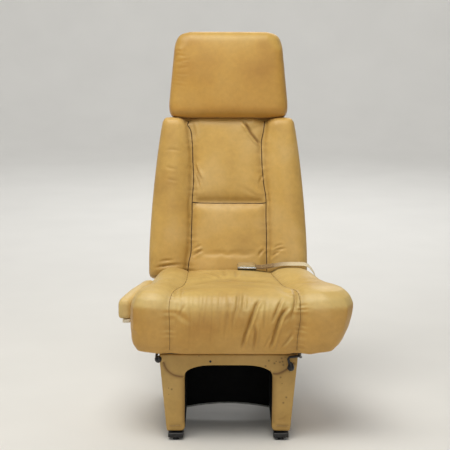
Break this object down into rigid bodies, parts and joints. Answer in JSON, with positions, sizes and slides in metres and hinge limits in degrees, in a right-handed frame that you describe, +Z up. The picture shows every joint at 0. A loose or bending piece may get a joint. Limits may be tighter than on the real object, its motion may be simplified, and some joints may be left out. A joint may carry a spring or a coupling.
{
  "type": "aircraft passenger seat",
  "caption": "Upholstered cabin seat on an arched pedestal with track feet, reclining back, sliding headrest, stowing armrest, recline and track levers and half a lap belt.",
  "frame": {"origin": "on the floor under the middle of the seat's bounding box", "axes": "+X to the right seen from the front, the seat faces -Y, +Z up"},
  "size_m": [0.6138, 0.6164, 1.053],
  "materials": {
    "leather": "full-grain tan upholstery leather, satin",
    "covered_panel": "tan leather stretched over moulded panel, satin",
    "dark_sheet": "black moulded sheet, matt",
    "black_steel": "black painted steel",
    "frame_alloy": "primed and brushed aluminium",
    "zinc_steel": "zinc-plated steel",
    "chrome": "bright chrome plate",
    "black_plastic": "black moulded plastic, semi-gloss",
    "cream_plastic": "cream moulded plastic, satin",
    "webbing": "cream woven webbing"
  },
  "bodies": {
    "base": {"armrest_sleeve": "black_steel", "belt_anchor": "zinc_steel", "belt_shackle": "zinc_steel", "belt_webbing": "webbing", "buckle_body": "black_steel", "cross_tube_front": "frame_alloy", "cross_tube_rear": "frame_alloy", "front_shroud": "covered_panel", "hinge_bracket_left": "zinc_steel", "hinge_bracket_right": "zinc_steel", "inner_baffle": "dark_sheet", "inner_liner_left": "dark_sheet", "inner_liner_right": "dark_sheet", "leg_front_left": "frame_alloy", "leg_front_right": "frame_alloy", "leg_rear_left": "frame_alloy", "leg_rear_right": "frame_alloy", "lower_rail_left": "frame_alloy", "lower_rail_right": "frame_alloy", "seat_cushion": "leather", "seat_pan": "frame_alloy", "side_rail_left": "frame_alloy", "side_rail_right": "frame_alloy", "side_shroud_left": "covered_panel", "side_shroud_right": "covered_panel", "strut_body": "black_steel", "strut_clamp": "zinc_steel", "track_fitting_front_left": "black_steel", "track_fitting_front_right": "black_steel", "track_fitting_rear_left": "black_steel", "track_fitting_rear_right": "black_steel"},
    "seat_back": {"back_torque_tube": "zinc_steel", "hinge_nut_left": "zinc_steel", "hinge_nut_right": "zinc_steel", "back_tube_left": "frame_alloy", "back_tube_right": "frame_alloy", "back_crossbar_lower": "frame_alloy", "back_crossbar_upper": "frame_alloy", "back_shell": "leather", "back_cushion": "leather", "headrest_guide_left": "black_plastic", "headrest_guide_right": "black_plastic", "recline_arm": "zinc_steel"},
    "headrest": {"headrest_pad": "leather", "headrest_core": "black_plastic", "headrest_post_left": "chrome", "headrest_post_right": "chrome"},
    "armrest": {"armrest_pad": "leather", "armrest_plate": "cream_plastic", "armrest_stem": "chrome"},
    "armrest_catch": {"armrest_release": "black_plastic"},
    "recline_handle": {"recline_lever": "black_steel", "recline_knob": "black_plastic"},
    "valve_pin": {"strut_valve_pin": "zinc_steel"},
    "rod": {"strut_rod": "chrome"},
    "track_handle": {"track_lever": "black_steel", "track_knob": "black_plastic"},
    "plunger_left": {"lock_plunger_left": "zinc_steel"},
    "plunger_right": {"lock_plunger_right": "zinc_steel"},
    "buckle_flap": {"buckle_cover": "chrome"}
  },
  "joints": [
    {"name": "recline", "type": "hinge", "parent": "base", "child": "seat_back", "pos_m": [-0.02, 0.1405, 0.335], "axis": [-1, 0, 0], "range_deg": [0, 30]},
    {"name": "headrest_lift", "type": "slide", "parent": "seat_back", "child": "headrest", "axis": [0, 0.2079, 0.9781], "range_m": [0, 0.08]},
    {"name": "armrest_lift", "type": "slide", "parent": "base", "child": "armrest", "axis": [0, 0, 1], "range_m": [0, 0.09]},
    {"name": "armrest_release_pull", "type": "slide", "parent": "base", "child": "armrest_catch", "axis": [0, -1, 0], "range_m": [0, 0.004], "stiffness_N_per_m": 800},
    {"name": "recline_lever_push", "type": "hinge", "parent": "base", "child": "recline_handle", "pos_m": [-0.21, -0.0995, 0.226], "axis": [1, 0, 0], "range_deg": [0, 12], "stiffness_Nm_per_rad": 3, "springref_deg": -6.88},
    {"name": "valve_pin_press", "type": "slide", "parent": "base", "child": "valve_pin", "axis": [0, 1, 0], "range_m": [0, 0.003]},
    {"name": "strut_travel", "type": "slide", "parent": "base", "child": "rod", "axis": [0, -1, 0], "range_m": [0, 0.066]},
    {"name": "track_lever_push", "type": "hinge", "parent": "base", "child": "track_handle", "pos_m": [0.17, -0.1745, 0.215], "axis": [1, 0, 0], "range_deg": [0, 12], "stiffness_Nm_per_rad": 5, "springref_deg": -6.88},
    {"name": "plunger_lift_left", "type": "slide", "parent": "base", "child": "plunger_left", "axis": [0, 0, 1], "range_m": [0, 0.0125]},
    {"name": "plunger_lift_right", "type": "slide", "parent": "base", "child": "plunger_right", "axis": [0, 0, 1], "range_m": [0, 0.0125]},
    {"name": "buckle_flap_lift", "type": "hinge", "parent": "base", "child": "buckle_flap", "pos_m": [0.0537, 0.0495, 0.407], "axis": [0, 1, 0], "range_deg": [0, 80], "stiffness_Nm_per_rad": 0.02, "springref_deg": -17.19}
  ],
  "couplings": [
    {"joint": "valve_pin_press", "follows": "recline_lever_push", "m_per_rad": 0.0133},
    {"joint": "strut_travel", "follows": "recline", "m_per_rad": 0.1236},
    {"joint": "plunger_lift_left", "follows": "track_lever_push", "m_per_rad": 0.0584},
    {"joint": "plunger_lift_right", "follows": "track_lever_push", "m_per_rad": 0.0584}
  ]
}
